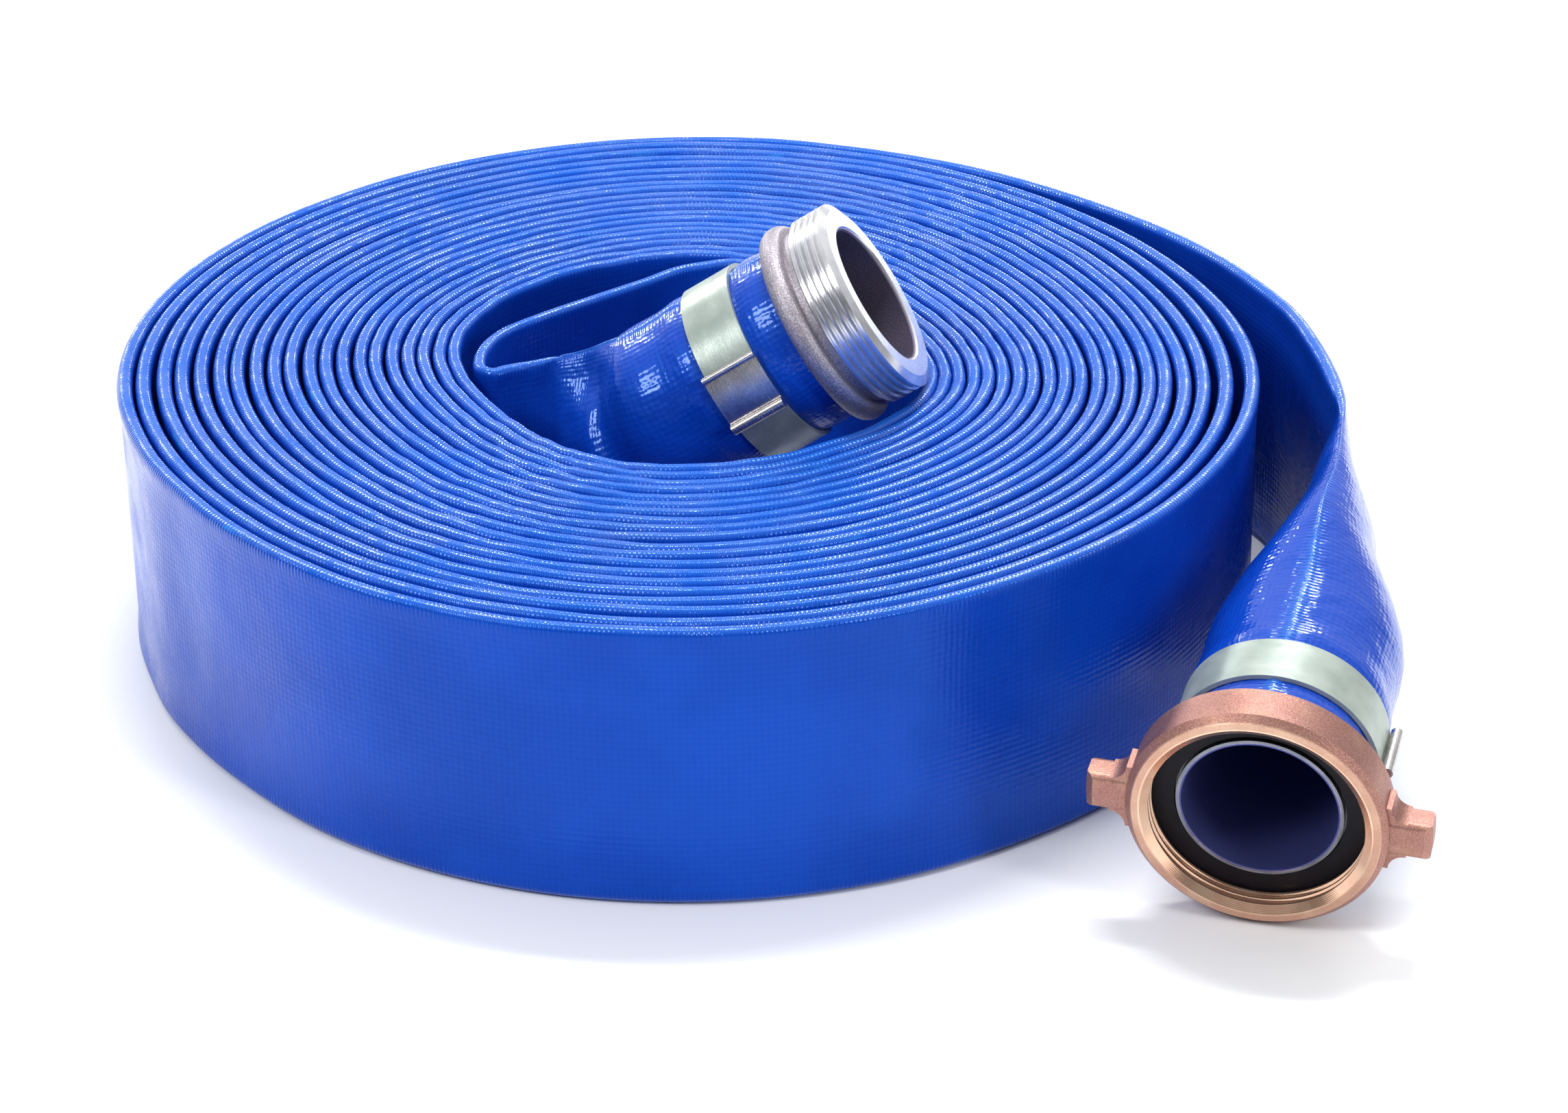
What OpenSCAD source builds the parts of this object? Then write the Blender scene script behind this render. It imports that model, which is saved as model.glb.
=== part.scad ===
// Rolled lay-flat hose, 2 inch, with a threaded coupling on each end.
// The roll stands on z = 0 with the middle of its core on the Z axis. Its outer end leaves the back of the
// roll, runs round the right side (+X) and ends in a swivel coupling at the front (-Y). Its inner end turns
// back on itself inside the core and rises to the right, where its male coupling leans on the inner turns.

/* [Hose] */
// Bore of the hose when it is round
hose_bore = 50.8; // [50:0.1:51.5]
// Thickness of the wall: liner, yarn and cover together
hose_wall = 1.65; // [1.5:0.05:1.8]
// Width of the hose when it is flat, which is the height of the roll
flat_width = 83; // [82:0.5:84]
// Thickness of the flat hose between its rounded edges
flat_thickness = 4.6; // [4:0.1:4.7]

/* [Roll] */
// Number of turns
turns = 20; // [20:1:20]
// Distance from one turn to the next
pitch = 5.15; // [5.1:0.01:5.2]
// Mean radius of the outermost turn
roll_radius = 171.5; // [171.2:0.1:172]
// How far the roll is out of round
oval = 4.8; // [4:0.1:5]
// How far the male coupling pushes the innermost turn outwards
nudge = 5.5; // [5.4:0.1:5.6]

/* [Threads] */
// Outer diameter of the coupling thread
thread_d = 59.8; // [59.5:0.1:60]
// Distance from one thread crest to the next
thread_pitch = 2.21; // [2.2:0.01:2.25]
// Depth of the thread
thread_depth = 1.1; // [1:0.05:1.2]

/* [Couplings] */
// Bore of both couplings
waterway_d = 42; // [41:0.5:43]
// Distance from a coupling's face to the inner end of its shank
shank_end = 62; // [60:1:64]
// Largest diameter of the male coupling's collar
collar_d = 63; // [62:0.5:64]
// Outer diameter of the swivel nut
nut_d = 70; // [70:0.5:71]
// Length of the swivel nut
nut_length = 13.6; // [13.5:0.1:14.5]
// Distance across the tips of the two lugs
lug_span = 92; // [90:1:96]

/* [Clamps] */
// Width of the clamp bands
band_width = 15.9; // [14:0.1:16]
// Thickness of the clamp bands, which go round twice
band_thickness = 1.3; // [1:0.1:1.5]
// Length of the clamp buckles along the hose
buckle_length = 17.4; // [17:0.2:20]

/* [Hidden] */
$fn = 96;

hose_blue = "royalblue";
metal_grey = "silver";
bronze = "rosybrown";

// Radii that follow from the driving dimensions
hose_r = hose_bore / 2 + hose_wall;
half_tall_flat = flat_width / 2;
half_wide_flat = flat_thickness / 2;
thread_r = thread_d / 2;
root_r = thread_r - thread_depth;
waterway_r = waterway_d / 2;
shank_r = hose_bore / 2;
liner_r = shank_r + hose_wall / 3;
yarn_r = shank_r + 2 * hose_wall / 3;
collar_r = collar_d / 2;
nut_r = nut_d / 2;
band_r = hose_r + band_thickness;

// Roll: angles are measured anticlockwise from +X, seen from above, and go on counting through the turns
leave_angle = 80;       // the outer run leaves the roll here
long_axis_angle = 107;  // the roll is longest along this line
nudge_angle = -20;      // the male coupling leans on the inner turns here
nudge_spread = 30;
outer_start = leave_angle + 50;         // the outer run leaves the outermost turn from here
inner_end = leave_angle + 360 * turns;  // the inner run is free of the roll from here
inner_start = inner_end - 230;          // and is a layer of its own from here
roll_step = 5;
seam_angle = 0.3;       // between a run's first section and the roll

// Distances back from the male coupling's face
male_thread_end = 12.6;
male_neck_end = 14.8;
male_collar_end = 21.4;
male_hose_end = 21.7;
male_band_start = 33.6;
male_face_r = 27.2;

// Distances back from the swivel nut's face
nut_chamfer = 2;
seat_depth = 7.5;       // front of the gasket
flange_front = 9.6;
flange_back = 11.5;
lip_front = 11.7;
bearing_end = 15.4;
female_hose_end = 15.8;
female_band_start = 27.2;
flange_r = 29.2;
pocket_r = 29.6;
lip_r = 27;
bearing_r = 26.95;      // turns in the nut's lip
nose_r = 22.4;

// Where each coupling's face is, and how its axis points
male_face = [55.7, -21.9, 111.6];
male_rise = 32.5;
male_heading = -4;
female_face = [149.5, -194.9, 34.2];
female_rise = -9.7;
female_heading = -106.7;
male_buckle_angle = -98;
female_buckle_angle = 76;
buckle_height = 15.5;   // round the band
buckle_thickness = 1;
big_lip_r = 1.7;
small_lip_r = 1.1;

lug_angle = 88;
lug_width = 11;
lug_length = 9;
lug_round = 2;
fin_length = 8;
fin_reach = 4.5;        // radius of the curve between the fin and the lug

// Free routes, from the roll to the coupling: x, y, z of the middle, half the width across, and how far
// the section leans back as the hose climbs
outer_route = [
    [48, 167, 41.5, 2.3, 0], [62, 161.5, 41.5, 2.3, 0], [78.5, 153.5, 41.5, 2.3, 0],
    [93.5, 144.5, 41.5, 2.3, 0], [108, 133.5, 41.5, 2.3, 0], [121.5, 121.5, 41.5, 2.3, 0],
    [136.5, 106.5, 41.5, 2.3, 0], [150.5, 90, 41.5, 2.3, 0], [164, 69.5, 41.5, 2.3, 0],
    [175, 46.5, 41.5, 2.3, 0], [182.5, 26, 41.5, 2.3, 0], [187, 0, 41.5, 2.4, 0],
    [189, -22, 41.5, 3.2, 0], [189.3, -41, 41.5, 6, 0], [187, -60, 42, 10, -1],
    [183, -77, 43.5, 14.5, -3], [178.3, -93, 45.5, 18, -6], [174.3, -109, 46.8, 23.5, -8.5]];
inner_route = [
    [4, 70, 41.5, 2.3, 0], [-4, 66.5, 41.5, 2.3, 0], [-14, 57.5, 41.5, 2.3, 0],
    [-30, 44.5, 41.5, 2.3, 0], [-46, 31, 41.5, 2.3, 0], [-56, 20.5, 41.5, 2.3, 0],
    [-60.8, 10, 41.5, 2.3, 0], [-62, 0, 41.5, 2.3, 0], [-61, -5.5, 41.5, 2.3, 0],
    [-57.5, -8, 41.5, 2.3, 0], [-54, -6, 41.5, 2.3, 0], [-49, -4, 41.5, 2.4, 0],
    [-42.8, -4.9, 42.9, 3, 1], [-36.3, -6.4, 45, 7.4, 2.5], [-29.5, -8.7, 48.5, 11.7, 4.4],
    [-23, -11.5, 53.5, 16.4, 7.8], [-16.8, -14.5, 59.6, 20.6, 12.4], [-10.3, -16.6, 66.5, 24.6, 21]];
run_sides = 12;

// ---- Shape of the roll ----

function turn_number(angle) = (angle - leave_angle) / 360;
function wrapped(angle) = angle - 360 * round(angle / 360);
function push(angle) = nudge * turn_number(angle) / turns
    * exp(-pow(wrapped(angle - nudge_angle) / nudge_spread, 2));
function turn_radius(angle) = roll_radius - pitch * turn_number(angle)
    + oval * cos(2 * (angle - long_axis_angle)) + push(angle);
function polar(radius, angle) = [radius * cos(angle), radius * sin(angle)];
function turn_face(from, offset) =
    [for (a = [from : roll_step : from + 360]) polar(turn_radius(a) + offset, a)];

// ---- Swept hose ----

function mixed(a, b, t) = a + (b - a) * t;
function flattened(value, power) = sign(value) * pow(abs(value), power);
// Half the height of a section whose half width is given, so that the way round it stays the same
function half_tall(half_wide) = sqrt(pow(half_tall_flat, 2)
    - (pow(half_tall_flat, 2) - pow(hose_r, 2)) * pow(half_wide / hose_r, 2));
function heading(points, i) = let (
    a = points[max(0, i - 1)],
    b = points[min(len(points) - 1, i + 1)]
) atan2(b.y - a.y, b.x - a.x);
function section(point, way) = let (
    across = point[3],
    lean = point[4],
    side = [sin(way), -cos(way), 0],
    up = [-cos(way) * sin(lean), -sin(way) * sin(lean), cos(lean)],
    power = mixed(0.45, 1, across / hose_r)
) [for (k = [0 : run_sides - 1]) let (a = 360 * (k + 0.5) / run_sides)
    [point.x, point.y, point.z] + side * across * flattened(cos(a), power)
        + up * half_tall(across) * flattened(sin(a), power)];
// Route points on a turn, from one angle to another
function turn_points(from, to, step) =
    [for (a = [from : step : to]) concat(polar(turn_radius(a), a), [half_tall_flat, half_wide_flat, 0])];
// Route point on a coupling's axis, a distance back from its face
function axis_point(face, rise, heading, back) =
    concat(face - back * [cos(heading) * cos(rise), sin(heading) * cos(rise), sin(rise)], [hose_r, rise]);

module swept(points) {
    rings = [for (i = [0 : len(points) - 1]) section(points[i], heading(points, i))];
    last = len(rings) - 1;
    sides = [for (i = [0 : last - 1], k = [0 : run_sides - 1]) let (n = (k + 1) % run_sides)
        each [[i * run_sides + k, i * run_sides + n, (i + 1) * run_sides + k],
              [i * run_sides + n, (i + 1) * run_sides + n, (i + 1) * run_sides + k]]];
    start_cap = [for (k = [run_sides - 1 : -1 : 0]) k];
    end_cap = [for (k = [0 : run_sides - 1]) last * run_sides + k];
    polyhedron([for (r = rings) each r], concat(sides, [start_cap], [end_cap]));
}

// ---- Placing: +Z points out of a coupling's face, which is at z = 0 ----

module at_male() {
    translate(male_face) rotate([0, 90 - male_rise, male_heading]) children();
}

module at_female() {
    translate(female_face) rotate([0, 90 - female_rise, female_heading]) children();
}

module tube(inner, outer, from, to) {
    translate([0, 0, -to])
        difference() {
            cylinder(h = to - from, r = outer);
            translate([0, 0, -1]) cylinder(h = to - from + 2, r = inner);
        }
}

module rounded_bar(width, length, height, radius) {
    linear_extrude(height) {
        square([width - 2 * radius, length], center = true);
        square([width, length - 2 * radius], center = true);
        for (x = [-1, 1], y = [-1, 1])
            translate([x * (width / 2 - radius), y * (length / 2 - radius)]) circle(radius, $fn = 32);
    }
}

// Points of a thread from one distance behind the face to another: crest and root radii at each crest
function thread_points(crest, root, from, count) =
    [for (i = [0 : count - 1]) let (z = -from - i * thread_pitch) each
        [[crest, z], [crest, z - 0.3 * thread_pitch],
         [root, z - 0.55 * thread_pitch], [root, z - 0.75 * thread_pitch]]];

// Points of the gripping grooves round a shank
function grip_points(from, to) = let (count = 6, step = (to - from) / count)
    [for (i = [0 : count - 1]) let (z = -from - i * step) each
        [[shank_r, z], [shank_r, z - 0.6 * step], [shank_r - 0.6, z - 0.65 * step],
         [shank_r - 0.6, z - 0.8 * step]]];

// ---- Hose ----

module hose_roll() {
    color(hose_blue)
        linear_extrude(flat_width)
            difference() {
                polygon(turn_face(outer_start, half_wide_flat));
                polygon(turn_face(inner_start - 360, -half_wide_flat));
            }
}

module hose_outer_run() {
    color(hose_blue)
        swept(concat(
            turn_points(outer_start - seam_angle, leave_angle - 1, -roll_step),
            outer_route,
            [for (back = [shank_end + 12, shank_end])
                axis_point(female_face, female_rise, female_heading, back)]));
}

module hose_inner_run() {
    color(hose_blue)
        swept(concat(
            turn_points(inner_start + 3 * seam_angle, inner_end, 2 * roll_step),
            inner_route,
            [for (back = [shank_end + 10, shank_end])
                axis_point(male_face, male_rise, male_heading, back)]));
}

// ---- Hose wall where it is clamped on a shank ----

module hose_layers(layer, from) {
    radii = [shank_r, liner_r, yarn_r, hose_r];
    tube(radii[layer], radii[layer + 1], from, shank_end);
}

module female_hose_liner() { color("navy") at_female() hose_layers(0, female_hose_end); }
module female_hose_yarn() { color("ivory") at_female() hose_layers(1, female_hose_end); }
module female_hose_cover() { color(hose_blue) at_female() hose_layers(2, female_hose_end); }
module male_hose_liner() { color("navy") at_male() hose_layers(0, male_hose_end); }
module male_hose_yarn() { color("ivory") at_male() hose_layers(1, male_hose_end); }
module male_hose_cover() { color(hose_blue) at_male() hose_layers(2, male_hose_end); }

// ---- Couplings ----

module male_coupling() {
    collar_middle = (male_neck_end + male_collar_end) / 2;
    collar_half = (male_collar_end - male_neck_end) / 2;
    round_r = 2.4;
    profile = concat(
        [[waterway_r, -1], [waterway_r + 1, 0], [male_face_r, 0]],
        thread_points(thread_r, root_r, 1.3, 5),
        [[root_r - 1.2, -male_thread_end], [root_r - 1.2, -male_neck_end]],
        [for (a = [90 : -15 : -90])
            [collar_r - round_r + round_r * cos(a), -collar_middle + collar_half * sin(a)]],
        grip_points(male_collar_end + 0.2, shank_end - 2),
        [[shank_r - 1, -shank_end], [waterway_r, -shank_end]]);
    color(metal_grey) at_male() rotate_extrude() polygon(profile);
}

module female_shank() {
    profile = concat(
        [[waterway_r, -seat_depth + 0.8], [nose_r, -seat_depth + 0.8], [nose_r, -flange_front],
         [flange_r, -flange_front], [flange_r, -flange_back], [bearing_r, -flange_back],
         [bearing_r, -bearing_end]],
        grip_points(bearing_end + 0.2, shank_end - 2),
        [[shank_r - 1, -shank_end], [waterway_r, -shank_end]]);
    color(metal_grey) at_female() rotate_extrude() polygon(profile);
}

module nut_ring() {
    profile = concat(
        [[nut_r - nut_chamfer, 0], [thread_r + 0.9, 0]],
        thread_points(root_r, thread_r, 1.6, 3),
        [[pocket_r, -seat_depth], [pocket_r, -lip_front], [lip_r, -lip_front], [lip_r, -nut_length],
         [nut_r - 1, -nut_length], [nut_r, -nut_length + 1], [nut_r, -nut_chamfer]]);
    rotate_extrude() polygon(profile);
}

module lug() {
    tip_r = lug_span / 2;
    front = lug_length / 2;
    // the bar that a spanner catches, its end bevelled front and back
    translate([0, 0, -nut_length / 2]) intersection() {
        translate([nut_r - 2, 0, 0]) rotate([90, 0, 90])
            rounded_bar(lug_width, lug_length, tip_r, lug_round);
        rotate_extrude() polygon([[0, -front], [tip_r - lug_round, -front], [tip_r, lug_round - front],
                                  [tip_r, front - lug_round], [tip_r - lug_round, front], [0, front]]);
    }
    // the fin that spreads its root along the nut's side
    fin_top = fin_reach + 2.5;
    width = lug_width + 2 * fin_reach;
    translate([nut_r - 2.5, 0, -nut_length / 2]) linear_extrude(fin_length, center = true) difference() {
        translate([0, -width / 2]) square([fin_top, width]);
        for (side = [-1, 1]) translate([fin_top, side * width / 2]) circle(fin_reach, $fn = 48);
    }
}

module swivel_nut() {
    color(bronze) at_female() {
        nut_ring();
        for (side = [0, 180]) rotate([0, 0, lug_angle + side]) lug();
    }
}

module gasket() {
    color("black") at_female() tube(nose_r + 0.6, pocket_r, seat_depth, flange_front - 0.1);
}

// ---- Clamps ----

module clamp_band(from) {
    tube(hose_r, band_r, from, from + band_width);
}

module buckle_profile() {
    // a curved plate over the band, with a lip along each end
    intersection() {
        difference() {
            circle(band_r + buckle_thickness);
            circle(band_r);
        }
        translate([band_r, 0]) square([12, buckle_height], center = true);
    }
    half_angle = asin(buckle_height / 2 / band_r);
    rotate(half_angle) translate([band_r + big_lip_r + 0.1, 0]) circle(big_lip_r, $fn = 32);
    rotate(-half_angle) translate([band_r + small_lip_r + 0.1, 0]) circle(small_lip_r, $fn = 32);
}

module clamp_buckle(from, angle) {
    end = from + (band_width + buckle_length) / 2;
    translate([0, 0, -end]) rotate([0, 0, angle]) linear_extrude(buckle_length) buckle_profile();
}

module male_clamp_band() { color("lightgrey") at_male() clamp_band(male_band_start); }
module female_clamp_band() { color("lightgrey") at_female() clamp_band(female_band_start); }
module male_clamp_buckle() { color("gainsboro") at_male() clamp_buckle(male_band_start, male_buckle_angle); }
module female_clamp_buckle() {
    color("gainsboro") at_female() clamp_buckle(female_band_start, female_buckle_angle);
}

hose_roll();
hose_outer_run();
hose_inner_run();
female_hose_liner();
female_hose_yarn();
female_hose_cover();
male_hose_liner();
male_hose_yarn();
male_hose_cover();
male_coupling();
male_clamp_band();
male_clamp_buckle();
female_shank();
swivel_nut();
gasket();
female_clamp_band();
female_clamp_buckle();
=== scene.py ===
import math

import bpy
import numpy as np
from mathutils import Matrix, Vector


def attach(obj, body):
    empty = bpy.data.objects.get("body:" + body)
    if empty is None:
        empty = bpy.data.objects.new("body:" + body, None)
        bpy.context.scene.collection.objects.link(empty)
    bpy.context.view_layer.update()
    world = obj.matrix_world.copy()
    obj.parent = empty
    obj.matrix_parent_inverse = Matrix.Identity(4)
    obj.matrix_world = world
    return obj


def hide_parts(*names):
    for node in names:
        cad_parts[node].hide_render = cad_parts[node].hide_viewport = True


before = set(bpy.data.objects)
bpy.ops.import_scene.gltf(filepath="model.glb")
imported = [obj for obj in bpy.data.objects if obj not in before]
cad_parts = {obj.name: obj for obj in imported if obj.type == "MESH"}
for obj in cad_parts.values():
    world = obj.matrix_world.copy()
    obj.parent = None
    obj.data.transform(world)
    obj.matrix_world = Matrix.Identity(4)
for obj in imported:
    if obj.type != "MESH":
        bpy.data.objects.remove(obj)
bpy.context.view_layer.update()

scene = bpy.context.scene
MM = 0.001
MM_PER_M = 1000.0
TAU = 2 * math.pi

# ------------------------------------------------------------------ camera

cam_data = bpy.data.cameras.new("camera")
cam_data.sensor_width = 36.0
cam_data.lens = 97.55
cam_data.clip_start = 0.05
cam_data.clip_end = 20.0
camera = bpy.data.objects.new("camera", cam_data)
scene.collection.objects.link(camera)
right = Vector((0.9999, -0.00634, -0.01244))
up = Vector((0.01396, 0.45395, 0.89092))
back = right.cross(up).normalized()
up = back.cross(right).normalized()
pose = Matrix((right, up, back)).transposed().to_4x4()
pose.translation = Vector((0.02761, -1.15096, 0.60175))
camera.matrix_world = pose
scene.camera = camera

# ------------------------------------------------------------------ sizes, in mm, as in the CAD source

HOSE_R = 27.05
HALF_TALL = 41.5
HALF_WIDE = 2.3
OUTERMOST_R = 171.5                     # of the outermost turn's middle
PITCH = 5.75                            # from turn to turn, a little less towards the middle
PITCH_EASE = 0.031

# angles along the winding, in degrees that go on counting through the turns
LEAVE = 80.0
TURNS = 20
OUTER_START = 130.0
INNER_END = LEAVE + 360.0 * TURNS
INNER_START = INNER_END - 230.0
JOIN = 10.0                             # over which a free end runs into the winding

MALE_FACE = np.array([55.7, -21.9, 111.6])
MALE_RISE, MALE_HEADING = 32.5, -4.0
FEMALE_FACE = np.array([149.5, -194.9, 34.2])
FEMALE_RISE, FEMALE_HEADING = -9.7, -106.7
MALE_HOSE_END = 21.7                    # where the hose is cut, back from each coupling's face
FEMALE_HOSE_END = 15.8
SHANK_REACH = 75                        # how far back a clamp still shapes the hose

# the cut edge, and the inside that shows past it
LIP_R = 26.75
LIP_INNER_R = 26.45
LIP_ROUND = 0.3
LIP_DEPTH = 9

# from one ring of points to the next
OUTER_STEP = 1.6
INNER_STEP = 1.3
WOUND_STEP = 3.4


def direction(rise, heading):
    r, h = math.radians(rise), math.radians(heading)
    return np.array([math.cos(h) * math.cos(r), math.sin(h) * math.cos(r), math.sin(r)])


MALE_AXIS = direction(MALE_RISE, MALE_HEADING)
FEMALE_AXIS = direction(FEMALE_RISE, FEMALE_HEADING)

# ------------------------------------------------------------------ the hose's line

# x, y, z of the middle, half the width across and the lean in degrees, in order away from the roll
OUTER_ROUTE = [
    (48, 167, 41.5, 2.3, 0), (62, 161.5, 41.5, 2.3, 0), (78.5, 153.5, 41.5, 2.3, 0),
    (93.5, 144.5, 41.5, 2.3, 0), (108, 133.5, 41.5, 2.3, 0), (121.5, 121.5, 41.5, 2.3, 0),
    (136.5, 106.5, 41.5, 2.3, 0), (150.5, 90, 41.5, 2.3, 0), (164, 69.5, 41.5, 2.3, 0),
    (175, 46.5, 41.5, 2.3, 0), (182.5, 26, 41.5, 2.3, 0), (187, 0, 41.5, 2.4, 0),
    (189, -22, 41.5, 3.2, 0), (189.3, -41, 41.5, 6, 0), (187, -60, 42, 10, -1),
    (183, -77, 43.5, 14.5, -3), (178.3, -93, 45.5, 18, -6), (174.3, -109, 46.8, 23.5, -8.5)]
INNER_ROUTE = [
    (4, 70, 41.5, 2.3, 0), (-4, 66.5, 41.5, 2.3, 0), (-14, 57.5, 41.5, 2.3, 0),
    (-30, 44.5, 41.5, 2.3, 0), (-46, 31, 41.5, 2.3, 0), (-56, 20.5, 41.5, 2.3, 0),
    (-60.8, 10, 41.5, 2.3, 0), (-62, 0, 41.5, 2.3, 0), (-61, -5.5, 41.5, 2.3, 0),
    (-57.5, -8, 41.5, 2.3, 0), (-54, -6, 41.5, 2.3, 0), (-49, -4, 41.5, 2.4, 0),
    (-42.8, -4.9, 42.9, 3, 1), (-36.3, -6.4, 45, 7.4, 2.5), (-29.5, -8.7, 48.5, 11.7, 4.4),
    (-23, -11.5, 53.5, 16.4, 7.8), (-16.8, -14.5, 59.6, 20.6, 12.4), (-10.3, -16.6, 66.5, 24.6, 21)]


def smooth(x):
    x = np.clip(x, 0, 1)
    return x * x * (3 - 2 * x)


def hill(angle, top, spread):
    """1 at the angle top, falling off to both sides of it, in degrees."""
    off = (angle - top + 180) % 360 - 180
    return math.exp(-(off / spread) ** 2)


def turn_radius(angle):
    """Radius of the hose's middle at an angle of the winding."""
    t = (angle - LEAVE) / 360.0
    a = math.radians(angle)
    base = OUTERMOST_R - PITCH * t + PITCH_EASE * t * t
    # the roll isn't quite round
    shape = 4.8 * math.cos(2 * (a - math.radians(107)))
    shape += 1.0 * math.cos(4 * a) - 1.2 * math.sin(4 * a) * min(1.0, 0.4 + 0.03 * t)
    # the innermost turns are nudged out where the inner end passes them
    nudge = 4.6 * (t / TURNS) ** 2 * hill(angle, -20, 30)
    # the outer three turns lie loose on the right, and the turns inside them lie closer there
    right_side = hill(angle, 8, 32)
    loose = 1.6 * right_side * max(0.0, 1 - abs(t - 1.0) / 2.2)
    slack = float(smooth((t - 0.9) / 1.6)) * max(0.0, min(1.0, (14 - t) / 11.0))
    return base + shape + nudge + loose - 2.6 * slack * right_side


def winding_row(angle):
    """A row of the hose's line on the winding."""
    r, a = turn_radius(angle), math.radians(angle)
    return (r * math.cos(a), r * math.sin(a), HALF_TALL, HALF_WIDE, 0)


def wobble(s, phase, scale):
    """Smooth, repeatable unevenness along a length s in mm."""
    v = 0.0
    for i, length in enumerate((311.0, 173.0, 97.0, 53.0)):
        v += math.sin(TAU * s / length + phase * (i + 1) * 1.7 + i * i) / (1 + 0.5 * i)
    return v * scale / 2.0


def curve_through(rows, step):
    """A smooth curve through the rows (x, y, z, half width, lean), with a row about every step mm."""
    p = np.array(rows, float)
    knots = np.r_[0, np.cumsum(np.sqrt(np.linalg.norm(np.diff(p[:, :3], axis=0), axis=1)))]
    out = []
    for i in range(len(p) - 1):
        p0, p1, p2, p3 = p[max(i - 1, 0)], p[i], p[i + 1], p[min(i + 2, len(p) - 1)]
        t1, t2 = knots[i], knots[i + 1]
        t0 = knots[i - 1] if i else t1 - (t2 - t1)
        t3 = knots[i + 2] if i + 2 < len(p) else t2 + (t2 - t1)
        if i == 0:
            p0 = 2 * p1 - p2
        if i + 2 >= len(p):
            p3 = 2 * p2 - p1
        n = max(1, int(round(np.linalg.norm(p2[:3] - p1[:3]) / step)))
        m1 = ((p1 - p0) / (t1 - t0) - (p2 - p0) / (t2 - t0) + (p2 - p1) / (t2 - t1)) * (t2 - t1)
        m2 = ((p2 - p1) / (t2 - t1) - (p3 - p1) / (t3 - t1) + (p3 - p2) / (t3 - t2)) * (t2 - t1)
        for j in range(n):
            u = j / n
            out.append((2 * u**3 - 3 * u**2 + 1) * p1 + (u**3 - 2 * u**2 + u) * m1
                       + (-2 * u**3 + 3 * u**2) * p2 + (u**3 - u**2) * m2)
    out.append(p[-1])
    return np.array(out)


def on_axis(face, axis, lean, distances):
    """Rows of the hose's line on a coupling's axis, at distances back from its face."""
    return [(*(face - d * axis), HOSE_R, lean) for d in distances]


outer_rows = on_axis(FEMALE_FACE, FEMALE_AXIS, -FEMALE_RISE,
                     (FEMALE_HOSE_END, 22, 27, 35, 43, 52, 62, 73))
outer_rows += [(x, y, z, a, -lean) for x, y, z, a, lean in reversed(OUTER_ROUTE)]
outer_rows += [winding_row(LEAVE + share * JOIN) for share in (0, 0.5, 1)]
outer_free = curve_through(outer_rows, OUTER_STEP)

inner_rows = [winding_row(INNER_END - share * JOIN) for share in (1, 0.5, 0)]
inner_rows += INNER_ROUTE
inner_rows += on_axis(MALE_FACE, MALE_AXIS, MALE_RISE, (72, 62, 52, 45, 38, 32, 27, MALE_HOSE_END))
inner_free = curve_through(inner_rows, INNER_STEP)

wound = []
lift = []                               # how far each ring's upper edge stands above an even height
marks = {}
angle = LEAVE + JOIN
while angle < INNER_END - JOIN - 1e-6:
    if "outer" not in marks and angle >= OUTER_START:
        marks["outer"] = len(wound)
    if "inner" not in marks and angle >= INNER_START:
        marks["inner"] = len(wound)
    r, a = turn_radius(angle), math.radians(angle)
    s = r * a
    t = (angle - LEAVE) / 360.0
    fade = min(1.0, (angle - LEAVE - JOIN) / 60, (INNER_END - JOIN - angle) / 60)
    # the turns lie in loose groups, with wider gaps between them
    group = math.sin(TAU * t / 2.7 + 1.5 * math.sin(a + 0.5) + 0.8 * math.sin(2 * a))
    r += ((0.28 - 0.009 * t) * group + wobble(s, 0.3 * t, 0.09)) * fade
    wound.append((r * math.cos(a), r * math.sin(a), HALF_TALL, HALF_WIDE, 0))
    lift.append((0.35 + wobble(s * 0.8, 2.0 + t, 0.34)) * fade)
    angle += math.degrees(WOUND_STEP / r)
wound = np.array(wound)

line = np.vstack([outer_free[:-1], wound, inner_free])
first_wound = len(outer_free) - 1
first_inner = first_wound + len(wound)
cut_outer = first_wound + marks["outer"]
cut_inner = first_wound + marks["inner"]
along = np.r_[0, np.cumsum(np.linalg.norm(np.diff(line[:, :3], axis=0), axis=1))]

# ------------------------------------------------------------------ the hose's section

# rows of points on a quarter of the section, by distance from the folded edge
EDGE_OFFSETS = [0, 0.25, 0.7, 1.3, 2.1, 3.2, 5.0, 8, 11.5, 15.5, 20, 25, 30.5, 36, 41.5]
QUARTER = len(EDGE_OFFSETS) - 1
AROUND = 4 * QUARTER


def flat_half(offset, edge, web):
    """Half thickness of the flat hose at a distance from its folded edge."""
    if offset < edge:
        return math.sqrt(max(edge**2 - (edge - offset) ** 2, 0))
    return edge + (web - edge) * float(smooth((offset - edge) / 7.0))


def flat_section(edge, web):
    """The flat hose's section, a closed row of points (across, up) that starts at the upper fold."""
    quarter = [(flat_half(o, edge, web), HALF_TALL - o) for o in EDGE_OFFSETS]
    pts = quarter + [(x, -y) for x, y in reversed(quarter[:-1])]
    pts += [(-x, y) for x, y in reversed(pts[1:-1])]
    return np.array(pts)


FLAT_EDGE = 2.25                        # half the flat hose's thickness, at its folds and between them
FLAT_WEB = 1.7
FLAT = flat_section(FLAT_EDGE, FLAT_WEB)
steps = np.linalg.norm(np.diff(np.vstack([FLAT, FLAT[:1]]), axis=0), axis=1)
arc = np.r_[0, np.cumsum(steps)]
GIRTH = arc[-1]
phi = arc[:-1] / GIRTH * TAU            # 0 at the upper fold, pi at the lower


def half_tall(half_wide):
    """Half the height of the hose where it is opened to half_wide, for a girth that stays the same."""
    return math.sqrt(HALF_TALL**2 - (HALF_TALL**2 - HOSE_R**2) * (half_wide / HOSE_R) ** 2)


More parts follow.
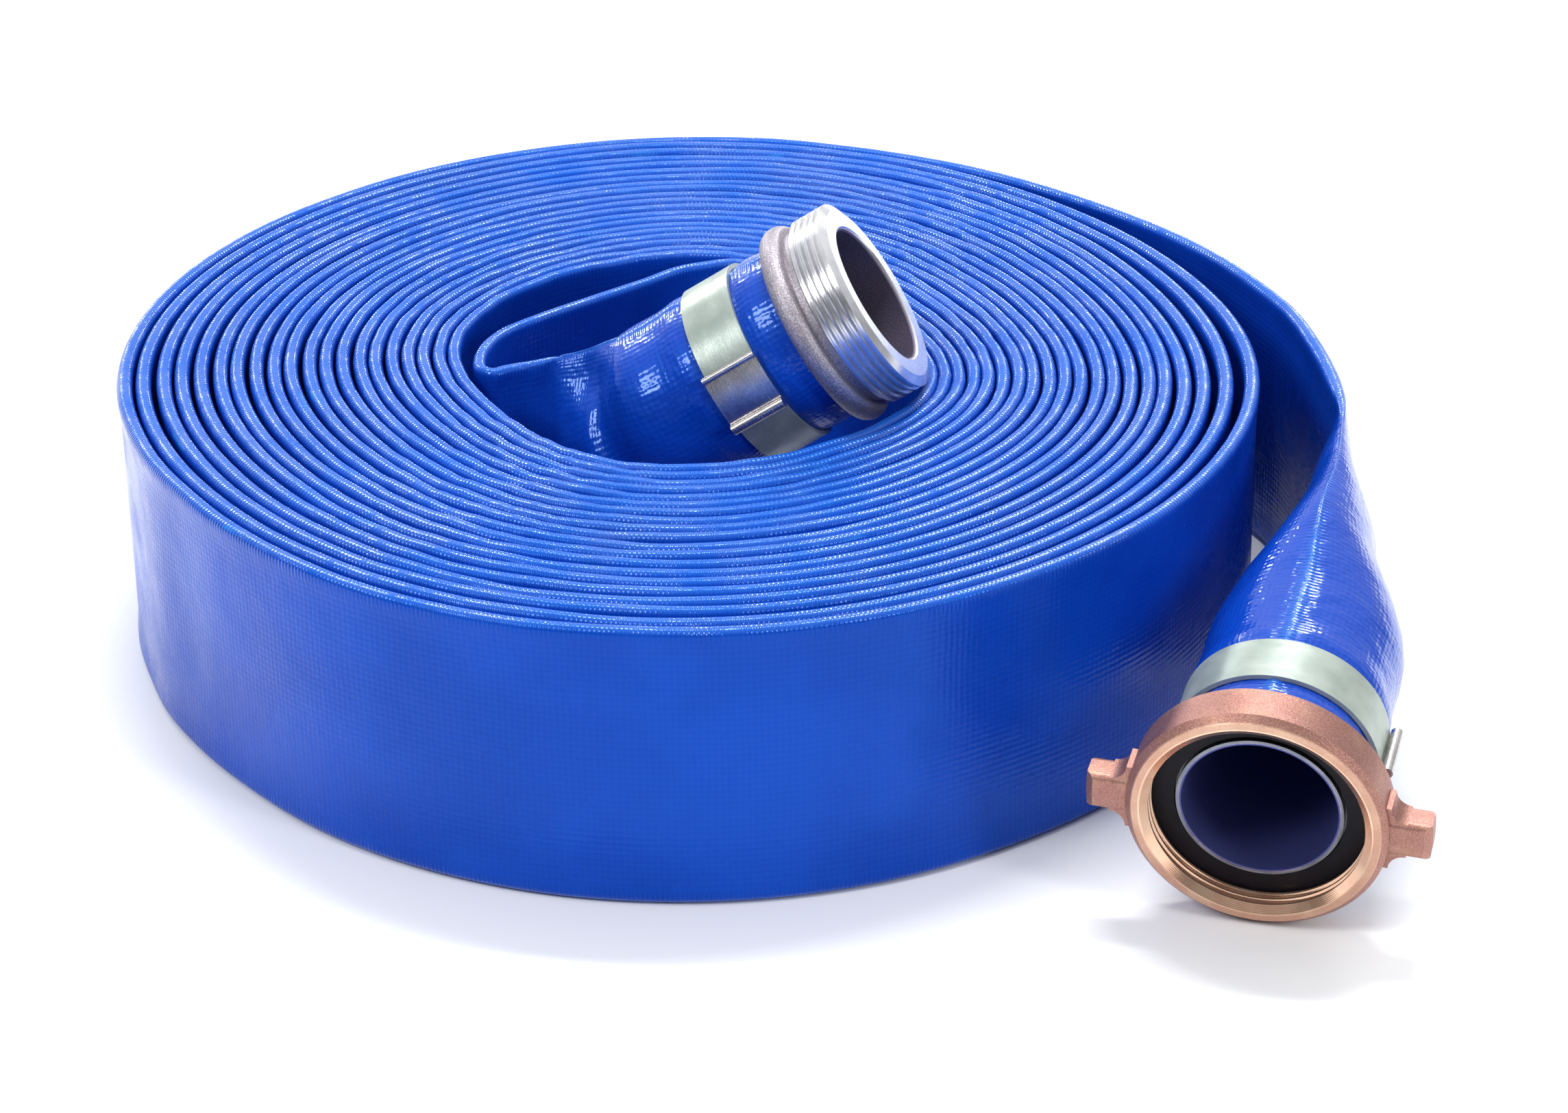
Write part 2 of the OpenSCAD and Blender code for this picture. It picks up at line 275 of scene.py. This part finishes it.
def headings(rows):
    d = np.gradient(rows[:, :2], axis=0)
    return np.arctan2(d[:, 1], d[:, 0])


way = headings(line)
centre = line[:, :3]
lean = np.radians(line[:, 4])
side = np.c_[np.sin(way), -np.cos(way), np.zeros(len(way))]
rise = np.c_[-np.cos(way) * np.sin(lean), -np.sin(way) * np.sin(lean), np.cos(lean)]

female_back = (FEMALE_FACE - centre) @ FEMALE_AXIS
male_back = (MALE_FACE - centre) @ MALE_AXIS


def bare_section(wide, share):
    """The section at half width wide, and at a share of the winding from its outer to its inner end."""
    opened = float(smooth((wide - 2.4) / 6.0))
    tall = half_tall(min(wide, HOSE_R))
    power = 1.0 + 0.35 * math.sin(math.pi * np.clip((wide - HALF_WIDE) / (HOSE_R - HALF_WIDE), 0, 1))
    sine, cosine = np.sin(phi), np.cos(phi)
    oval = np.c_[wide * np.sign(sine) * np.abs(sine) ** power, tall * cosine]
    thick = 1.04 - 0.13 * min(max(share, 0), 1)
    sec = FLAT * [thick, 1.0] * (1 - opened) + oval * opened
    # the old folds stay as low ridges where the hose has opened
    if wide > 8:
        ridge = 0.55 * np.exp(-(np.minimum(phi, TAU - phi) / 0.05) ** 2)
        ridge += 0.55 * np.exp(-((phi - math.pi) / 0.05) ** 2)
        sec = sec * (1 + (ridge / np.linalg.norm(sec, axis=1))[:, None])
    return sec


def clamp_swell(d, behind, before, before_spread, band):
    """How far the hose stands out beside a clamp and is drawn in under it, at d back from the face."""
    out = 0.7 * math.exp(-((d - behind) / 4.0) ** 2)
    out += 0.5 * math.exp(-((d - before) / before_spread) ** 2)
    return out - 0.25 * float(smooth((d - band[0]) / 2) - smooth((d - band[1]) / 2))


def swell_at(i):
    """How far the section of ring i stands out, for the clamps and for the uneven cut edge."""
    if i < first_wound and female_back[i] < SHANK_REACH:
        d = female_back[i]
        swell = clamp_swell(d, 48, 22, 4.0, (25.5, 42.5))
        if d < 18.5:
            swell += 0.5 * np.sin(phi * 9 + 1) * float(smooth((18.5 - d) / 3)) * 0.5
        return swell
    if i >= first_inner and male_back[i] < SHANK_REACH:
        return clamp_swell(male_back[i], 54, 28.5, 3.5, (32, 49))
    return 0.0


rings = np.zeros((len(line), AROUND, 3))
for i, row in enumerate(line):
    sec = bare_section(row[3], (i - first_wound) / len(wound))
    outward = sec / np.linalg.norm(sec, axis=1)[:, None]
    sec = sec + outward * (np.ones(AROUND) * swell_at(i))[:, None]
    rings[i] = centre[i] + side[i] * sec[:, :1] + rise[i] * sec[:, 1:]
rings[first_wound:first_inner, :, 2] *= 1 + np.maximum(lift, -0.1)[:, None] / (2 * HALF_TALL)


def push(point, toward, depth, radius, rows):
    """Presses a soft dent into the hose around a point."""
    d = np.linalg.norm(rings[rows] - np.array(point, float), axis=2)
    rings[rows] += np.array(toward, float) * (depth * np.exp(-(d / radius) ** 2))[..., None]


tail = slice(0, first_wound)
core = slice(first_inner, len(line))
# where the inner end opens it folds in below its upper edge, and dents in front
push((-28, -20, 84), (0.1, 0.75, -0.65), 6.0, 9, core)
push((-22, -30, 73), (-0.1, 0.95, -0.3), 7.0, 9, core)
push((-16, -37, 62), (0.0, 0.98, 0.1), 4.0, 9, core)
for spot in ((-31, -16, 87), (-28, -20, 82), (-24.5, -25, 76),
             (-21, -30, 70), (-18, -34, 63), (-15, -37, 56)):
    push(spot, (0.25, 0.85, -0.3), 3.0, 4.5, core)
push((-12, -27, 86), (0.1, -0.6, 0.7), 2.5, 8, core)
push((-14, -34, 76), (0.0, -0.9, 0.3), 2.0, 7, core)
push((-39, -14, 60), (0.0, -0.95, 0.0), 3.0, 14, core)
push((-28, -9, 30), (0.2, 0.9, 0.0), 4.0, 14, core)
# where the outer end opens it creases below the bend
push((192, -58, 66), (-0.95, 0.1, 0), 3.0, 14, tail)
push((196, -88, 40), (-0.9, 0.2, 0.1), 2.5, 16, tail)
push((172, -84, 52), (0.9, 0.2, 0), 3.0, 14, tail)

# the outermost turn is pressed in and stands out here and there: angle, height, depth and spread
HAND_MARKS = [(196, 40, 1.1, 16), (204, 30, -1.0, 13), (212, 52, 0.9, 14), (221, 34, 0.8, 18),
              (236, 48, -0.6, 20), (300, 40, 0.9, 24), (318, 30, -0.7, 18)]
outermost = slice(first_wound, first_wound + int(len(wound) * 0.09))
for angle, z, depth, radius in HAND_MARKS:
    out = np.array([math.cos(math.radians(angle)), math.sin(math.radians(angle)), 0])
    spot = out * (turn_radius(angle) + 2) + [0, 0, z]
    d = rings[outermost] - spot
    d[..., 2] *= 0.45
    w = np.exp(-(np.linalg.norm(d, axis=2) / radius) ** 2)
    rings[outermost] -= out * (depth * w)[..., None]


def cut_lip(i, j):
    """Three rings that turn the cut end at ring i inward and run on towards ring j."""
    mid = centre[i]
    inward = (centre[j] - mid) / np.linalg.norm(centre[j] - mid)
    radial = (rings[i] - mid) / np.linalg.norm(rings[i] - mid, axis=1)[:, None]
    return [mid + radial * LIP_R, mid + radial * LIP_INNER_R + inward * LIP_ROUND,
            mid + radial * LIP_INNER_R + inward * LIP_DEPTH]


def length_uv(us):
    """Corner coordinates in m, along the hose and round it, for the quads between rings at us."""
    size = (len(us) - 1, AROUND)
    u0 = np.broadcast_to(us[:-1, None], size)
    u1 = np.broadcast_to(us[1:, None], size)
    v0 = np.broadcast_to(arc[:-1] * MM, size)
    v1 = np.broadcast_to(arc[1:] * MM, size)
    corners = [np.stack(pair, 2) for pair in ((u0, v0), (u1, v0), (u1, v1), (u0, v1))]
    return np.stack(corners, 2).reshape(-1, 2)


def hose_piece(name, lo, hi, end_lo, end_hi):
    """Rings lo to hi as one closed mesh. An end is "cap", closed flat, or "lip", cut off on a shank."""
    sets = [rings[i] for i in range(lo, hi + 1)]
    us = [along[i] for i in range(lo, hi + 1)]
    if end_lo == "lip":
        sets = cut_lip(lo, lo + 3)[::-1] + sets
        us = [us[0]] * 3 + us
    if end_hi == "lip":
        sets = sets + cut_lip(hi, hi - 3)
        us = us + [us[-1]] * 3

    n = len(sets)
    co = np.concatenate(sets) * MM
    k = np.arange(AROUND)
    kn = (k + 1) % AROUND
    first = np.arange(n - 1)[:, None] * AROUND
    quads = np.stack([first + k, first + AROUND + k, first + AROUND + kn, first + kn], axis=2)
    quads = quads.reshape(-1, 4)
    loops = quads.ravel()
    starts = np.arange(len(quads)) * 4
    totals = np.full(len(quads), 4)
    caps = []
    if end_lo == "cap":
        caps.append(k)
    if end_hi == "cap":
        caps.append(((n - 1) * AROUND + k)[::-1])
    for cap in caps:
        starts = np.r_[starts, len(loops)]
        totals = np.r_[totals, AROUND]
        loops = np.r_[loops, cap]
    me = bpy.data.meshes.new(name)
    me.vertices.add(len(co))
    me.vertices.foreach_set("co", co.ravel())
    me.loops.add(len(loops))
    me.loops.foreach_set("vertex_index", loops.astype(np.int32))
    me.polygons.add(len(starts))
    me.polygons.foreach_set("loop_start", starts.astype(np.int32))
    me.polygons.foreach_set("loop_total", totals.astype(np.int32))
    me.update(calc_edges=True)
    uv = np.zeros((len(loops), 2))
    uv[: len(quads) * 4] = length_uv(np.array(us) * MM)
    layer = me.uv_layers.new(name="length")
    layer.data.foreach_set("uv", uv.ravel())
    me.polygons.foreach_set("use_smooth", np.arange(len(starts)) < len(quads))
    me.validate()

    # the shading runs on unbroken from one piece of hose into the next
    before = [rings[lo - 1]] if end_lo == "cap" else []
    after = [rings[hi + 1]] if end_hi == "cap" else []
    grid = np.array(before + sets + after)
    normals = np.cross(np.gradient(grid, axis=0), np.roll(grid, -1, 1) - np.roll(grid, 1, 1))
    normals = normals[len(before): len(before) + n].reshape(-1, 3)
    normals /= np.maximum(np.linalg.norm(normals, axis=1), 1e-9)[:, None]
    me.normals_split_custom_set_from_vertices(normals.tolist())
    ob = bpy.data.objects.new(name, me)
    scene.collection.objects.link(ob)
    return ob


outer_hose = hose_piece("outer_hose", 0, cut_outer, "lip", "cap")
wound_hose = hose_piece("wound_hose", cut_outer, cut_inner, "cap", "cap")
inner_hose = hose_piece("inner_hose", cut_inner, len(line) - 1, "cap", "lip")

for ob, nodes in ((outer_hose, ("hose_outer_run", "female_hose_cover")),
                  (wound_hose, ("hose_roll",)),
                  (inner_hose, ("hose_inner_run", "male_hose_cover"))):
    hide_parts(*nodes)
    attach(ob, "hose")

# ------------------------------------------------------------------ node helpers


class Nodes:
    """Shader nodes of one material, written as sums."""

    def __init__(self, name):
        self.mat = bpy.data.materials.new(name)
        self.mat.use_nodes = True
        self.tree = self.mat.node_tree
        self.bsdf = self.tree.nodes["Principled BSDF"]

    def put(self, socket, value):
        if isinstance(value, bpy.types.NodeSocket):
            self.tree.links.new(value, socket)
        else:
            socket.default_value = value

    def node(self, kind, **settings):
        n = self.tree.nodes.new(kind)
        for key, value in settings.items():
            setattr(n, key, value)
        return n

    def math(self, op, a, b=0.0, c=0.0):
        n = self.node("ShaderNodeMath", operation=op)
        for socket, value in zip(n.inputs, (a, b, c)):
            self.put(socket, value)
        return n.outputs[0]

    def plus(self, a, b):
        return self.math("ADD", a, b)

    def minus(self, a, b):
        return self.math("SUBTRACT", a, b)

    def times(self, a, b):
        return self.math("MULTIPLY", a, b)

    def wave(self, value, length):
        """A sine that repeats every length"""
        return self.math("SINE", self.times(value, TAU / length))

    def vector(self, op, a, b=(0, 0, 0)):
        n = self.node("ShaderNodeVectorMath", operation=op)
        self.put(n.inputs[0], a)
        if op == "SCALE":
            self.put(n.inputs["Scale"], b)
        elif op not in ("LENGTH", "NORMALIZE"):
            self.put(n.inputs[1], b)
        return n.outputs["Value"] if op in ("DOT_PRODUCT", "LENGTH", "DISTANCE") else n.outputs["Vector"]

    def noise(self, vector, scale, detail=3.0, rough=0.5):
        n = self.node("ShaderNodeTexNoise")
        self.put(n.inputs["Vector"], vector)
        n.inputs["Scale"].default_value = scale
        n.inputs["Detail"].default_value = detail
        n.inputs["Roughness"].default_value = rough
        return n.outputs["Fac"]

    def span(self, value, a, b, c=0.0, d=1.0):
        """value from a..b to c..d, smoothly, held at both ends"""
        n = self.node("ShaderNodeMapRange", interpolation_type="SMOOTHSTEP")
        self.put(n.inputs["Value"], value)
        for key, x in zip(("From Min", "From Max", "To Min", "To Max"), (a, b, c, d)):
            self.put(n.inputs[key], x)
        return n.outputs["Result"]

    def mix(self, factor, a, b):
        n = self.node("ShaderNodeMix", data_type="RGBA")
        self.put(n.inputs["Factor"], factor)
        self.put(n.inputs[6], a)
        self.put(n.inputs[7], b)
        return n.outputs[2]

    def bump(self, height, distance, strength=1.0, normal=None):
        n = self.node("ShaderNodeBump")
        n.inputs["Strength"].default_value = strength
        n.inputs["Distance"].default_value = distance
        self.put(n.inputs["Height"], height)
        if normal is not None:
            self.put(n.inputs["Normal"], normal)
        return n.outputs["Normal"]

    def object_place(self):
        return self.node("ShaderNodeTexCoord").outputs["Object"]


def colour(r, g, b):
    return (r, g, b, 1.0)


# ------------------------------------------------------------------ the hose's PVC

DIAMOND = 3.6                           # the lengths, in mm, at which the weave's marks repeat
RIB = 1.3
THREAD = 1.8

m = Nodes("hose_pvc")
uv = m.node("ShaderNodeUVMap", uv_map="length").outputs["UV"]
split = m.node("ShaderNodeSeparateXYZ")
m.put(split.inputs[0], uv)
u = m.times(split.outputs[0], MM_PER_M)          # mm along the hose
v = m.times(split.outputs[1], MM_PER_M)          # mm round its section
fold = m.math("PINGPONG", v, GIRTH / 4)          # mm from the nearer folded edge, or from mid height
near_fold = m.span(fold, 7.0, 2.0)
place = m.object_place()
big = m.noise(place, 22.0, 3.0)
fine = m.noise(place, 420.0, 2.0)
# diamonds on the flat sides, ribs across the folded edges, threads along the hose
shift = m.times(m.minus(m.noise(uv, 60.0, 2.0), 0.5), 1.2)
uneven_u = m.plus(u, shift)
diamonds = m.times(m.wave(m.plus(uneven_u, v), DIAMOND), m.wave(m.minus(uneven_u, v), DIAMOND))
ribs = m.wave(uneven_u, RIB)
ribs = m.times(ribs, m.span(m.noise(uv, 140.0, 2.0), 0.3, 0.65, 0.35, 1.0))
threads = m.wave(v, THREAD)
body = m.plus(m.times(diamonds, 0.38), m.times(threads, 0.10))
height = m.plus(m.times(body, m.span(fold, 3.0, 8.0, 0.25, 1.0)),
                m.times(ribs, m.times(near_fold, 0.95)))
height = m.plus(height, m.times(m.minus(fine, 0.5), 0.35))
normal = m.bump(height, 0.00010, 0.85)
# the two ends that stand open are wrinkled
WHOLE = float(along[-1])
open_end = m.math("MAXIMUM", m.span(u, 200.0, 130.0), m.span(u, WHOLE - 190.0, WHOLE - 120.0))
wrinkle = m.times(m.noise(place, 95.0, 3.0, 0.6), m.plus(0.3, open_end))
normal = m.bump(wrinkle, 0.0012, 0.6, normal)
normal = m.bump(m.minus(big, 0.5), 0.0016, 0.5, normal)
base = m.mix(m.span(big, 0.35, 0.65), colour(0.0022, 0.036, 0.36), colour(0.004, 0.052, 0.44))
# painted light and shade on the relief: paler where the weave, ribs and threads stand up, darker in their
# hollows
base = m.mix(m.times(m.span(height, -0.9, 0.9), 0.30), base, colour(0.006, 0.095, 0.60))
# worn places on the folded edges, where the colour has gone pale
rub = m.span(m.noise(m.vector("MULTIPLY", uv, (9.0, 60.0, 1.0)), 2.4, 3.0, 0.6), 0.66, 0.74)
rub = m.times(rub, m.times(near_fold, 0.35))
base = m.mix(rub, base, colour(0.03, 0.38, 0.85))
# painted sheen: the folded edges are painted paler, standing in for the overhead light that catches them
painted_edge_sheen = m.times(m.span(fold, 3.5, 0.4), 0.35)
base = m.mix(painted_edge_sheen, base, colour(0.022, 0.20, 0.72))
m.put(m.bsdf.inputs["Base Color"], base)
rough = m.plus(0.15, m.times(m.span(m.noise(place, 60.0, 3.0), 0.3, 0.7), 0.16))
m.put(m.bsdf.inputs["Roughness"], rough)
m.put(m.bsdf.inputs["Normal"], normal)
m.bsdf.inputs["Specular IOR Level"].default_value = 0.5
m.bsdf.inputs["Specular Tint"].default_value = colour(0.1, 0.4, 1.0)
# the folded edges are glossier, in patches
gloss = m.times(m.span(fold, 3.5, 1.2), m.span(m.noise(place, 55.0, 3.0), 0.30, 0.65))
gloss = m.math("MAXIMUM", gloss, m.times(open_end, 0.5))
m.put(m.bsdf.inputs["Coat Weight"], m.plus(0.08, m.times(gloss, 0.6)))
m.bsdf.inputs["Coat Roughness"].default_value = 0.08
m.put(m.bsdf.inputs["Coat Normal"], normal)
for ob in (outer_hose, wound_hose, inner_hose):
    ob.data.materials.append(m.mat)

# ------------------------------------------------------------------ metal and rubber


def coupling_coords(m, face, axis):
    """How far out along a coupling's axis and how far from it, in mm, and the place from its face in m."""
    axis = tuple(float(x) for x in axis)
    p = m.vector("SUBTRACT", m.object_place(), tuple(float(x) * MM for x in face))
    out = m.vector("DOT_PRODUCT", p, axis)
    radial = m.vector("SUBTRACT", p, m.vector("SCALE", axis, out))
    return m.times(out, MM_PER_M), m.times(m.vector("LENGTH", radial), MM_PER_M), p


def cast_aluminium(name, face, axis, thread_to, bore_shade, turned_low, turned_high):
    """Grainy cast metal, turned bright from the face back to thread_to, with painted shade darkening the
    bore.
    """
    m = Nodes(name)
    out, r, p = coupling_coords(m, face, axis)
    machined = m.times(m.span(out, thread_to - 0.4, thread_to + 0.2), m.span(r, 21.3, 21.9))
    inside = m.span(r, 21.7, 21.2)
    grain = m.noise(p, 1900.0, 2.0, 0.6)
    pits = m.noise(p, 4200.0, 2.0, 0.6)
    turned = m.plus(m.wave(out, 0.34), m.times(m.wave(r, 0.42), m.span(out, -0.3, -0.05)))
    cast_height = m.plus(grain, m.times(pits, 0.5))
    h = m.plus(m.times(cast_height, m.span(machined, 0, 1, 1.0, 0.0)),
               m.times(turned, m.times(machined, 0.03)))
    cast = m.mix(m.span(grain, 0.35, 0.7), colour(0.28, 0.25, 0.29), colour(0.50, 0.47, 0.51))
    bright = m.mix(m.span(m.noise(p, 160.0), 0.3, 0.7), colour(*turned_low), colour(*turned_high))
    base = m.mix(machined, cast, bright)
    # painted shade: the bore is painted dark, standing in for the shade inside it
    base = m.mix(inside, base, colour(*bore_shade))
    m.put(m.bsdf.inputs["Base Color"], base)
    m.bsdf.inputs["Metallic"].default_value = 0.9
    rough = m.plus(m.span(machined, 0, 1, 0.50, 0.20), m.times(inside, 0.1))
    m.put(m.bsdf.inputs["Roughness"], rough)
    m.put(m.bsdf.inputs["Normal"], m.bump(h, 0.00016, 0.7))
    return m.mat


def brass(name, face, axis):
    """Cast brass, turned bright in its bore and paler on its rim."""
    m = Nodes(name)
    out, r, p = coupling_coords(m, face, axis)
    machined = m.times(m.span(r, 31.6, 31.1), m.span(out, -9.6, -9.4))
    grain = m.noise(p, 2000.0, 2.0, 0.6)
    blotch = m.noise(p, 110.0, 3.0)
    cast = m.mix(m.span(grain, 0.3, 0.75), colour(0.31, 0.145, 0.12), colour(0.46, 0.245, 0.20))
    cast = m.mix(m.times(m.span(blotch, 0.45, 0.7), 0.30), cast, colour(0.60, 0.36, 0.24))
    # painted glints: tiny bright specks painted into the cast colour
    painted_glints = m.span(m.noise(p, 3600.0, 1.0), 0.66, 0.74)
    cast = m.mix(m.times(painted_glints, 0.45), cast, colour(0.90, 0.62, 0.40))
    gold = m.mix(m.span(blotch, 0.3, 0.7), colour(0.80, 0.48, 0.33), colour(0.92, 0.64, 0.45))
    rim = m.times(m.span(r, 34.4, 33.0), m.span(out, -0.5, -0.1))
    base = m.mix(m.math("MAXIMUM", machined, m.times(rim, 0.55)), cast, gold)
    m.put(m.bsdf.inputs["Base Color"], base)
    m.bsdf.inputs["Metallic"].default_value = 0.85
    m.put(m.bsdf.inputs["Roughness"], m.span(machined, 0, 1, 0.46, 0.17))
    grooves = m.times(m.wave(out, 0.3), m.times(machined, 0.05))
    h = m.plus(m.times(grain, m.span(machined, 0, 1, 1.0, 0.05)), grooves)
    m.put(m.bsdf.inputs["Normal"], m.bump(h, 0.00014, 0.7))
    return m.mat


def rubber(name):
    m = Nodes(name)
    p = m.object_place()
    grain = m.noise(p, 700.0, 3.0)
    base = m.mix(grain, colour(0.002, 0.002, 0.004), colour(0.006, 0.006, 0.012))
    m.put(m.bsdf.inputs["Base Color"], base)
    m.put(m.bsdf.inputs["Roughness"], m.span(grain, 0.3, 0.7, 0.45, 0.6))
    m.bsdf.inputs["Specular IOR Level"].default_value = 0.2
    m.put(m.bsdf.inputs["Normal"], m.bump(grain, 0.0001, 0.5))
    return m.mat


def strap_steel(name, face, axis, metallic, low, high, rough):
    """Sheet steel whose grain and scratches run round the coupling's axis."""
    m = Nodes(name)
    out, r, p = coupling_coords(m, face, axis)
    squeezed = m.node("ShaderNodeCombineXYZ")
    m.put(squeezed.inputs[0], m.times(out, 6.0))
    m.put(squeezed.inputs[1], m.times(r, 0.6))
    split = m.node("ShaderNodeSeparateXYZ")
    m.put(split.inputs[0], p)
    m.put(squeezed.inputs[2], m.times(split.outputs[1], 60.0))
    grain = m.noise(squeezed.outputs[0], 1.6, 4.0, 0.6)
    scratch = m.span(m.noise(squeezed.outputs[0], 5.0, 1.0), 0.70, 0.73)
    blotch = m.noise(p, 120.0, 3.0)
    base = m.mix(m.span(blotch, 0.3, 0.7), colour(*low), colour(*high))
    base = m.mix(m.times(scratch, 0.5), base, colour(0.92, 0.92, 0.90))
    m.put(m.bsdf.inputs["Base Color"], base)
    m.bsdf.inputs["Metallic"].default_value = metallic
    m.put(m.bsdf.inputs["Roughness"], m.span(grain, 0.3, 0.7, rough, rough + 0.14))
    m.put(m.bsdf.inputs["Normal"], m.bump(m.plus(grain, scratch), 0.00006, 0.6))
    return m.mat


def fabric(name, low, high):
    """Matt, fine-grained layers that show at the hose's cut ends."""
    m = Nodes(name)
    p = m.object_place()
    grain = m.noise(p, 1500.0, 2.0)
    m.put(m.bsdf.inputs["Base Color"], m.mix(grain, colour(*low), colour(*high)))
    m.bsdf.inputs["Roughness"].default_value = 0.7
    m.put(m.bsdf.inputs["Normal"], m.bump(grain, 0.0002, 0.7))
    return m.mat


MALE = (MALE_FACE, MALE_AXIS)
FEMALE = (FEMALE_FACE, FEMALE_AXIS)
BAND_COLOURS = ((0.32, 0.38, 0.34), (0.42, 0.48, 0.43))
BUCKLE_COLOURS = ((0.48, 0.45, 0.44), (0.64, 0.61, 0.60))
# after thread_to: the painted shade colour of each bore (navy in the shank), then the turned metal's two
# colours
MALE_METAL = cast_aluminium("male_metal", *MALE, -12.4, (0.13, 0.11, 0.17),
                            (0.66, 0.66, 0.70), (0.80, 0.80, 0.82))
SHANK_METAL = cast_aluminium("shank_metal", *FEMALE, -8.3, (0.09, 0.11, 0.34),
                             (0.16, 0.17, 0.21), (0.24, 0.25, 0.29))
NUT_METAL = brass("nut_metal", *FEMALE)
RUBBER = rubber("gasket_rubber")
MALE_BAND = strap_steel("male_band_steel", *MALE, 0.4, *BAND_COLOURS, 0.26)
FEMALE_BAND = strap_steel("female_band_steel", *FEMALE, 0.4, *BAND_COLOURS, 0.28)
MALE_BUCKLE = strap_steel("male_buckle_steel", *MALE, 0.95, *BUCKLE_COLOURS, 0.16)
FEMALE_BUCKLE = strap_steel("female_buckle_steel", *FEMALE, 0.95, *BUCKLE_COLOURS, 0.18)
LINER = fabric("liner_pvc", (0.003, 0.02, 0.16), (0.01, 0.04, 0.26))
YARN = fabric("hose_yarn", (0.55, 0.55, 0.52), (0.80, 0.80, 0.78))


def repaint(name, mat):
    """Gives a solid of the CAD its final look."""
    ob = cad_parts[name]
    for i in range(max(1, len(ob.material_slots))):
        if ob.material_slots:
            ob.material_slots[i].material = mat
        else:
            ob.data.materials.append(mat)


LOOKS = {
    "male_coupling": MALE_METAL, "female_shank": SHANK_METAL, "swivel_nut": NUT_METAL,
    "gasket": RUBBER, "male_hose_liner": LINER, "female_hose_liner": LINER,
    "male_hose_yarn": YARN, "female_hose_yarn": YARN,
    "male_clamp_band": MALE_BAND, "female_clamp_band": FEMALE_BAND,
    "male_clamp_buckle": MALE_BUCKLE, "female_clamp_buckle": FEMALE_BUCKLE}
for name, mat in LOOKS.items():
    repaint(name, mat)

# ------------------------------------------------------------------ floor and light

FLOOR_HALF = 30
FLOOR_DROP = 0.0005                     # below the hose, so that no faces coincide
corners = [(-FLOOR_HALF, -FLOOR_HALF, 0), (FLOOR_HALF, -FLOOR_HALF, 0),
           (FLOOR_HALF, FLOOR_HALF, 0), (-FLOOR_HALF, FLOOR_HALF, 0)]
floor_mesh = bpy.data.meshes.new("floor")
floor_mesh.from_pydata(corners, [], [(0, 1, 2, 3)])
floor = bpy.data.objects.new("floor", floor_mesh)
scene.collection.objects.link(floor)
floor.location.z = -FLOOR_DROP
m = Nodes("floor")
m.bsdf.inputs["Base Color"].default_value = colour(0.90, 0.905, 0.92)
m.bsdf.inputs["Specular IOR Level"].default_value = 0.0
m.bsdf.inputs["Roughness"].default_value = 0.9
floor.data.materials.append(m.mat)

# a studio that is bright overhead and behind, and dim in front
world = bpy.data.worlds.new("studio")
world.use_nodes = True
tree = world.node_tree
coords = tree.nodes.new("ShaderNodeTexCoord")
parts = tree.nodes.new("ShaderNodeSeparateXYZ")
tree.links.new(coords.outputs["Generated"], parts.inputs[0])


def sky(axis, low, high, amount):
    """Brightness that rises from none at low to amount at high, by the way looked at along an axis."""
    n = tree.nodes.new("ShaderNodeMapRange")
    n.interpolation_type = "SMOOTHSTEP"
    tree.links.new(parts.outputs[axis], n.inputs["Value"])
    for key, x in zip(("From Min", "From Max", "To Min", "To Max"), (low, high, 0.0, amount)):
        n.inputs[key].default_value = x
    return n.outputs["Result"]


total = tree.nodes.new("ShaderNodeMath")
tree.links.new(sky("Z", 0.15, 0.95, 0.75), total.inputs[0])
tree.links.new(sky("Y", -0.1, 0.8, 0.55), total.inputs[1])
everywhere = 0.12
lifted = tree.nodes.new("ShaderNodeMath")
tree.links.new(total.outputs[0], lifted.inputs[0])
lifted.inputs[1].default_value = everywhere
background = tree.nodes["Background"]
background.inputs[0].default_value = (0.96, 0.98, 1.0, 1)
tree.links.new(lifted.outputs[0], background.inputs[1])
scene.world = world


def area(name, at, toward, size_x, size_y, power):
    data = bpy.data.lights.new(name, "AREA")
    data.shape = "RECTANGLE"
    data.size, data.size_y = size_x, size_y
    data.energy = power
    ob = bpy.data.objects.new(name, data)
    ob.location = at
    ob.rotation_euler = (Vector(toward) - Vector(at)).to_track_quat("-Z", "Y").to_euler()
    scene.collection.objects.link(ob)


area("top", (0.1, 0.5, 1.9), (0, 0, 0), 0.9, 0.16, 25)
area("key", (-1.3, -1.0, 1.5), (0, 0, 0.05), 0.5, 0.7, 17)
area("fill", (1.5, -1.3, 1.0), (0.1, -0.1, 0.05), 0.35, 0.7, 12)
area("back_left", (-1.0, 1.7, 0.9), (0, 0, 0.05), 0.4, 0.2, 10)
area("back_right", (0.7, 1.8, 0.9), (0, 0, 0.05), 0.4, 0.2, 10)

scene.view_settings.view_transform = "Standard"
scene.view_settings.look = "None"
